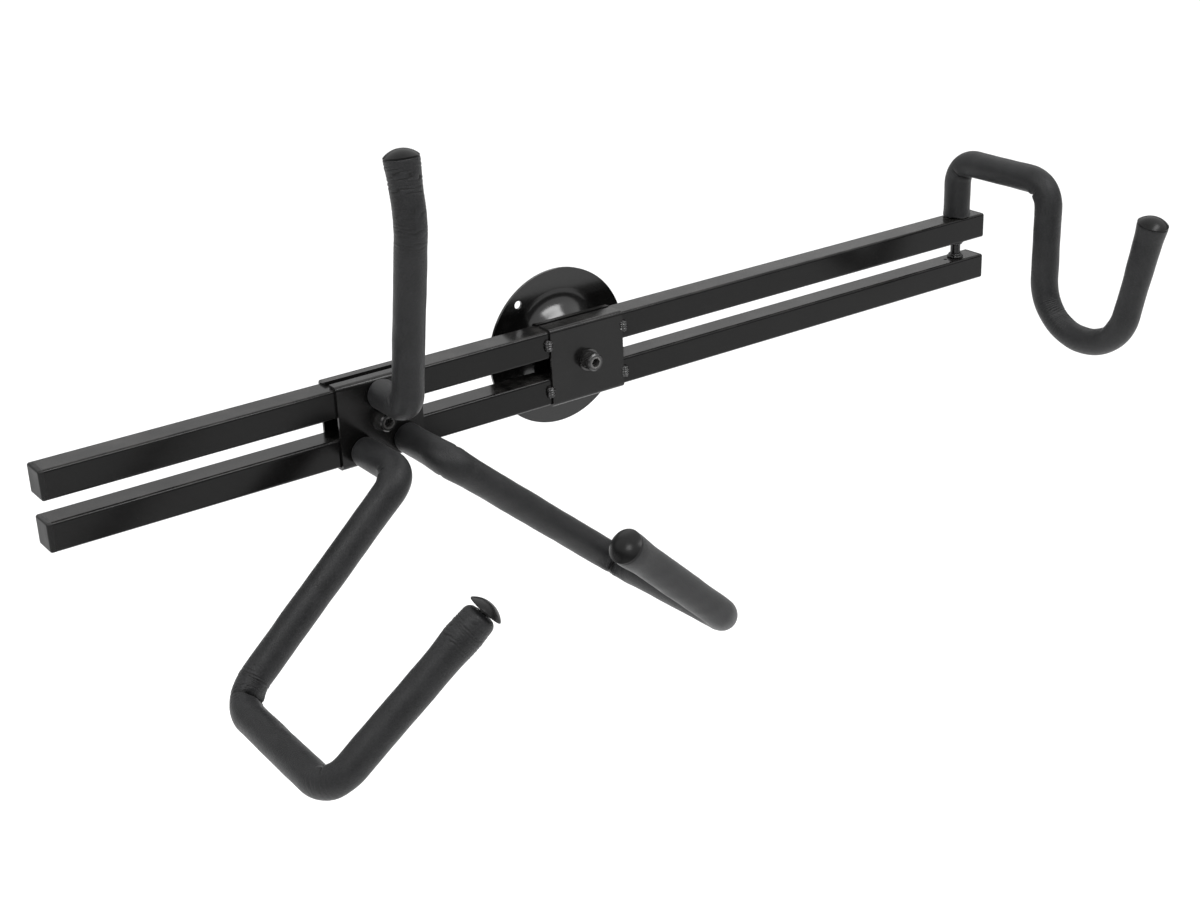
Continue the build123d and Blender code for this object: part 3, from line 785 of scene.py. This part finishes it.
def all_sleeves():
    hook = hook_route()
    foam_sleeve(
        "neck_hook_foam", "rail_frame", "neck_hook_sleeve", hook, 11,
        [Wrinkles(hook.bend_mids[2], 30 * MM, 0.60 * MM, 2.0 * MM, (0, -1, 1), 0.35),
         Wrinkles(hook.bend_mids[3], 26 * MM, 0.25 * MM, 2.2 * MM, (0, 0, 1)),
         Wrinkles(hook.bend_mids[1] + 20 * MM, 30 * MM, 0.16 * MM, 2.2 * MM),
         Wrinkles(hook.length - 10 * MM, 12 * MM, 0.16 * MM, 2.2 * MM)],
        [Fullness(hook.along[0], 5 * MM, 0.5 * MM),
         Fullness(hook.bend_mids[2] + 20 * MM, 30 * MM, -0.4 * MM),
         Fullness(hook.length - 60 * MM, 22 * MM, -0.5 * MM),
         Fullness(hook.length, 9 * MM, 1.0 * MM)], 1.0 * MM, 1.5 * MM)
    upper = upper_route()
    foam_sleeve(
        "upper_arm_foam", "carriage", "upper_arm_sleeve", upper, 23,
        [Wrinkles(upper.length - 12 * MM, 16 * MM, 0.95 * MM, 2.2 * MM),
         Wrinkles(upper.length - 42 * MM, 26 * MM, 0.48 * MM, 2.5 * MM)],
        [Fullness(upper.bend_mids[0], 12 * MM, 0.5 * MM),
         Fullness(upper.length, 12 * MM, 1.1 * MM)], 1.0 * MM, 1.5 * MM)
    left = lower_route("left")
    foam_sleeve(
        "lower_left_arm_foam", "carriage", "lower_left_arm_sleeve", left, 37,
        [Wrinkles(left.bend_mids[1] - 9 * MM, 19 * MM, 0.78 * MM, 2.2 * MM),
         Wrinkles(left.length - 16 * MM, 16 * MM, 0.75 * MM, 2.3 * MM),
         Wrinkles(left.bend_mids[2], 18 * MM, 0.22 * MM, 2.4 * MM)],
        [Fullness(left.bend_mids[0], 13 * MM, 0.7 * MM),
         Fullness(left.length - 17 * MM, 13 * MM, 0.9 * MM)], 5.0 * MM, 0.9 * MM)
    right = lower_route("right")
    foam_sleeve(
        "lower_right_arm_foam", "carriage", "lower_right_arm_sleeve", right, 51,
        [Wrinkles(right.bend_mids[1] + 9 * MM, 16 * MM, 0.45 * MM, 2.3 * MM),
         Wrinkles(right.bend_mids[2], 18 * MM, 0.20 * MM, 2.4 * MM)],
        [Fullness(right.bend_mids[0], 13 * MM, 0.7 * MM),
         Fullness(right.bend_mids[1] + 14 * MM, 8 * MM, 0.5 * MM),
         Fullness(right.length - 4 * MM, 12 * MM, 1.0 * MM)], 1.4 * MM, 1.4 * MM)


# ======================================================================
# weld beads and bolt threads, by Geometry Nodes
# ======================================================================
class GeometryTree(Nodes):
    """A Geometry Nodes tree whose named inputs are set by their identifiers."""

    def __init__(self, name, inputs):
        tree = bpy.data.node_groups.new(name, "GeometryNodeTree")
        super().__init__(tree)
        face = tree.interface
        face.new_socket("Geometry", in_out="INPUT", socket_type="NodeSocketGeometry")
        for label, kind in inputs:
            face.new_socket(label, in_out="INPUT", socket_type=kind)
        face.new_socket("Geometry", in_out="OUTPUT", socket_type="NodeSocketGeometry")
        self.start = self.add("NodeGroupInput").outputs
        self.end = self.add("NodeGroupOutput").inputs

    def finish(self, geometry):
        smooth = self.add("GeometryNodeSetShadeSmooth", Geometry=geometry)
        real = self.add("GeometryNodeRealizeInstances", Geometry=smooth.outputs[0])
        painted = self.add("GeometryNodeSetMaterial", Geometry=real.outputs[0],
                           Material=self.start["Material"])
        self.feed(self.end["Geometry"], painted.outputs[0])

    def grow(self, name, seed_object, values):
        """A plain mesh object that the tree makes from seed_object's mesh."""
        modifier = seed_object.modifiers.new("tree", "NODES")
        modifier.node_group = self.tree
        for item in self.tree.interface.items_tree:
            if item.in_out == "INPUT" and item.name in values:
                modifier[item.identifier] = values[item.name]
        graph = bpy.context.evaluated_depsgraph_get()
        mesh = bpy.data.meshes.new_from_object(seed_object.evaluated_get(graph))
        seed_object.modifiers.remove(modifier)
        bpy.data.objects.remove(seed_object)
        mesh.name = name
        return add_object(name, mesh)


def line_object(points_of_lines, closed):
    """A mesh of edges only, one chain or ring for each list of points."""
    points, edges = [], []
    for line in points_of_lines:
        first = len(points)
        points += [tuple(point) for point in line]
        edges += [(first + k, first + k + 1) for k in range(len(line) - 1)]
        if closed:
            edges.append((first + len(line) - 1, first))
    mesh = bpy.data.meshes.new("lines")
    mesh.from_pydata(points, edges, [])
    return add_object("lines", mesh)


def weld_tree():
    """A bead along each line: rippled like a row of cooled pools, lumpy, with round ends."""
    t = GeometryTree("weld_bead", [
        ("Radius", "NodeSocketFloat"), ("Ripple Pitch", "NodeSocketFloat"),
        ("Ripple Depth", "NodeSocketFloat"), ("Lump", "NodeSocketFloat"),
        ("Taper", "NodeSocketFloat"), ("Seed", "NodeSocketInt"),
        ("Material", "NodeSocketMaterial")])
    curve = t.add("GeometryNodeMeshToCurve", Mesh=t.start["Geometry"])
    fine = t.add("GeometryNodeResampleCurve", {"mode": "LENGTH"}, Curve=curve.outputs[0],
                 Length=BEAD_STEP)
    spline = t.add("GeometryNodeSplineParameter")
    turns = t.math("DIVIDE", spline.outputs["Length"], t.start["Ripple Pitch"])
    wave = t.math("ABSOLUTE", t.math("SINE", t.math("MULTIPLY", turns, math.pi)))
    ripple = t.math("MULTIPLY", t.math("SUBTRACT", wave, 1.0), t.start["Ripple Depth"])
    place = t.math("SUBTRACT", t.math("MULTIPLY", spline.outputs["Factor"], 2.0), 1.0)
    rounded = t.math("POWER", t.math("SUBTRACT", 1.0,
                                     t.math("POWER", t.math("ABSOLUTE", place), 4.0)), 0.5)
    ends = t.math("SUBTRACT", 1.0, t.math("MULTIPLY", t.math("SUBTRACT", 1.0, rounded),
                                          t.start["Taper"]))
    scale = t.math("MAXIMUM", t.math("MULTIPLY", ends, t.math("ADD", ripple, 1.0)), 0.05)
    circle = t.add("GeometryNodeCurvePrimitiveCircle", Resolution=BEAD_SIDES,
                   Radius=t.start["Radius"])
    tube = t.add("GeometryNodeCurveToMesh", Curve=fine.outputs[0], Fill_Caps=True,
                 Scale=scale)
    t.feed(tube.inputs["Profile Curve"], circle.outputs["Curve"])
    noise = t.add("ShaderNodeTexNoise", {"noise_dimensions": "4D"}, Scale=WELD_LUMP_SCALE,
                  Detail=2.0, W=t.start["Seed"])
    lump = t.math("MULTIPLY", t.math("SUBTRACT", noise.outputs["Fac"], 0.5), t.start["Lump"])
    push = t.add("ShaderNodeVectorMath", {"operation": "SCALE"}, Scale=lump)
    t.feed(push.inputs[0], t.add("GeometryNodeInputNormal").outputs["Normal"])
    moved = t.add("GeometryNodeSetPosition", Geometry=tube.outputs["Mesh"],
                  Offset=push.outputs["Vector"])
    t.finish(moved.outputs[0])
    return t


def bead_values(radius, pitch, lump, taper, seed):
    return {"Radius": radius, "Ripple Pitch": pitch, "Ripple Depth": RIPPLE, "Lump": lump,
            "Taper": taper, "Seed": seed, "Material": FINISHES["weld_metal"]}


def ring(centre, radius, second):
    """Points round a circle that starts along +X and turns towards second."""
    angles = [TURN * k / RING_POINTS for k in range(RING_POINTS)]
    return [centre + radius * (math.cos(a) * Vector((1, 0, 0)) + math.sin(a) * Vector(second))
            for a in angles]


def weld_beads(tree):
    """The centre bracket's beads, the hook's fillets and the fillets at the arms' roots."""
    plate_low, plate_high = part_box("centre_front_plate")
    rail_low, rail_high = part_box("upper_rail")
    beads = []
    dice = np.random.default_rng(7)
    for x in (plate_low.x - BEAD_OFF_PLATE, plate_high.x + BEAD_OFF_PLATE):
        for z in (middle("lower_rail").z, middle("upper_rail").z):
            for y in (rail_low.y, rail_high.y):
                lean, slip = dice.uniform(-0.5, 0.5, 2) * MM
                beads.append([(x + 0.3 * lean, y, z + slip + k * BEAD_HALF)
                              for k in (-1, 0, 1)])
    piece = tree.grow("centre_beads", line_object(beads, False),
                      bead_values(BEAD_R, BEAD_PITCH, 1.6 * MM, 1.0, 3))
    dress(piece, "rail_frame", "weld_metal", "centre_weld_beads")

    hook_rings = []
    for z, way in ((SLOT_TOP_Z, -1), (SLOT_FOOT_Z, 1)):
        for radius, off in HOOK_FILLET_RINGS:
            hook_rings.append(ring(Vector((HOOK_X, RAIL_Y, z + way * off)), radius, (0, 1, 0)))
    piece = tree.grow("hook_welds", line_object(hook_rings, True),
                      bead_values(HOOK_FILLET_R, FILLET_PITCH, 0.6 * MM, 0.0, 5))
    dress(piece, "rail_frame", "weld_metal", "neck_hook_welds")

    roots = [(CARRIAGE_X, UPPER_ROOT_Z), (CARRIAGE_X - LOWER_ROOT_SPREAD, LOWER_ROOT_Z),
             (CARRIAGE_X + LOWER_ROOT_SPREAD, LOWER_ROOT_Z)]
    root_rings = [ring(Vector((x, CARRIAGE_FACE_Y - ARM_FILLET_OFF, z)), ARM_FILLET_RING,
                       (0, 0, 1)) for x, z in roots]
    piece = tree.grow("arm_welds", line_object(root_rings, True),
                      bead_values(ARM_FILLET_R, FILLET_PITCH, 0.5 * MM, 0.0, 9))
    dress(piece, "carriage", "weld_metal", "arm_root_welds")


def bolt_threads(tree):
    """The thread's ridge on each bolt's end, a smooth bead that winds round it."""
    for bolt, turns in THREAD_TURNS.items():
        centre, end_y = middle(bolt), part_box(bolt)[1].y
        ridge = []
        for k in range(int(turns * THREAD_POINTS)):
            angle = TURN * k / THREAD_POINTS
            back = THREAD_START + THREAD_PITCH * k / THREAD_POINTS
            ridge.append((centre.x + BOLT_R * math.cos(angle), end_y - back,
                          centre.z + BOLT_R * math.sin(angle)))
        piece = tree.grow(f"{bolt}_thread", line_object([ridge], False), {
            "Radius": THREAD_RIDGE_R, "Ripple Pitch": 1.0, "Ripple Depth": 0.0, "Lump": 0.0,
            "Taper": 1.0, "Seed": 1, "Material": FINISHES["black_steel"]})
        dress(piece, bolt, "black_steel")


# ======================================================================
# studio
# ======================================================================
def floor_material():
    material, n, shader, place = new_material("studio_floor")
    cloud = n.ramp(n.noise(place, FLOOR_CLOUD_SCALE, 3.0), 0.3, 0.7)
    n.feed(shader.inputs["Base Color"], n.mix(cloud, grey(0.93), grey(0.95)))
    shader.inputs["Roughness"].default_value = 0.9
    shader.inputs["Specular IOR Level"].default_value = 0.1
    return material


def lay_floor():
    half, z = FLOOR_HALF, LOWEST_Z - FLOOR_BELOW
    mesh = bpy.data.meshes.new("floor")
    mesh.from_pydata([(-half, -half, z), (half, -half, z), (half, half, z), (-half, half, z)],
                     [], [(0, 1, 2, 3)])
    mesh.materials.append(floor_material())
    add_object("floor", mesh)


def add_light(name, place, target, size, power):
    """A soft rectangle of light at place, aimed at target; size is its width and height."""
    light = bpy.data.lights.new(name, "AREA")
    light.shape = "RECTANGLE"
    light.size, light.size_y = size
    light.energy = power
    lamp = add_object(name, light)
    lamp.location = place
    aim = Vector(target) - Vector(place)
    lamp.rotation_euler = aim.to_track_quat("-Z", "Y").to_euler()


def light_studio():
    world = bpy.data.worlds.new("studio")
    world.use_nodes = True
    background = world.node_tree.nodes["Background"]
    background.inputs["Color"].default_value = (1.0, 1.0, 1.0, 1.0)
    seen = world.node_tree.nodes.new("ShaderNodeLightPath").outputs["Is Camera Ray"]
    strength = world.node_tree.nodes.new("ShaderNodeMapRange")
    strength.inputs["To Min"].default_value = GLOW_ON_PIECES
    strength.inputs["To Max"].default_value = GLOW_PAST_FLOOR
    world.node_tree.links.new(seen, strength.inputs["Value"])
    world.node_tree.links.new(strength.outputs["Result"], background.inputs["Strength"])
    bpy.context.scene.world = world
    bpy.context.scene.view_settings.view_transform = "Standard"
    add_light("ceiling", (0.0, 0.0, 10.0), (0.0, 0.0, 0.0), (60.0, 60.0), 13200.0)
    add_light("key_light", (-1.4, -0.7, 1.4), (-0.15, -0.1, 0.0), (0.6, 0.6), 14.0)
    add_light("front_light", (0.5, -1.15, 1.6), (-0.05, -0.03, 0.0), (1.3, 0.45), 20.0)


def place_camera():
    yaw, pitch, roll = CAMERA_YAW, CAMERA_PITCH, CAMERA_ROLL
    ahead = Vector((math.sin(yaw) * math.cos(pitch), math.cos(yaw) * math.cos(pitch),
                    -math.sin(pitch)))
    level = Vector((math.cos(yaw), -math.sin(yaw), 0.0))
    below = ahead.cross(level)
    right = level * math.cos(roll) + below * math.sin(roll)
    down = below * math.cos(roll) - level * math.sin(roll)
    turned = Matrix((right, -down, -ahead)).transposed()
    lens = bpy.data.cameras.new("camera")
    lens.lens = CAMERA_LENS
    lens.sensor_width = CAMERA_SENSOR
    lens.sensor_fit = "HORIZONTAL"
    lens.clip_end = CAMERA_FAR
    camera = add_object("camera", lens)
    camera.matrix_world = Matrix.Translation(CAMERA_PLACE) @ turned.to_4x4()
    bpy.context.scene.camera = camera


finish_cad_nodes()
all_sleeves()
bead_tree = weld_tree()
weld_beads(bead_tree)
bolt_threads(bead_tree)
lay_floor()
light_studio()
place_camera()
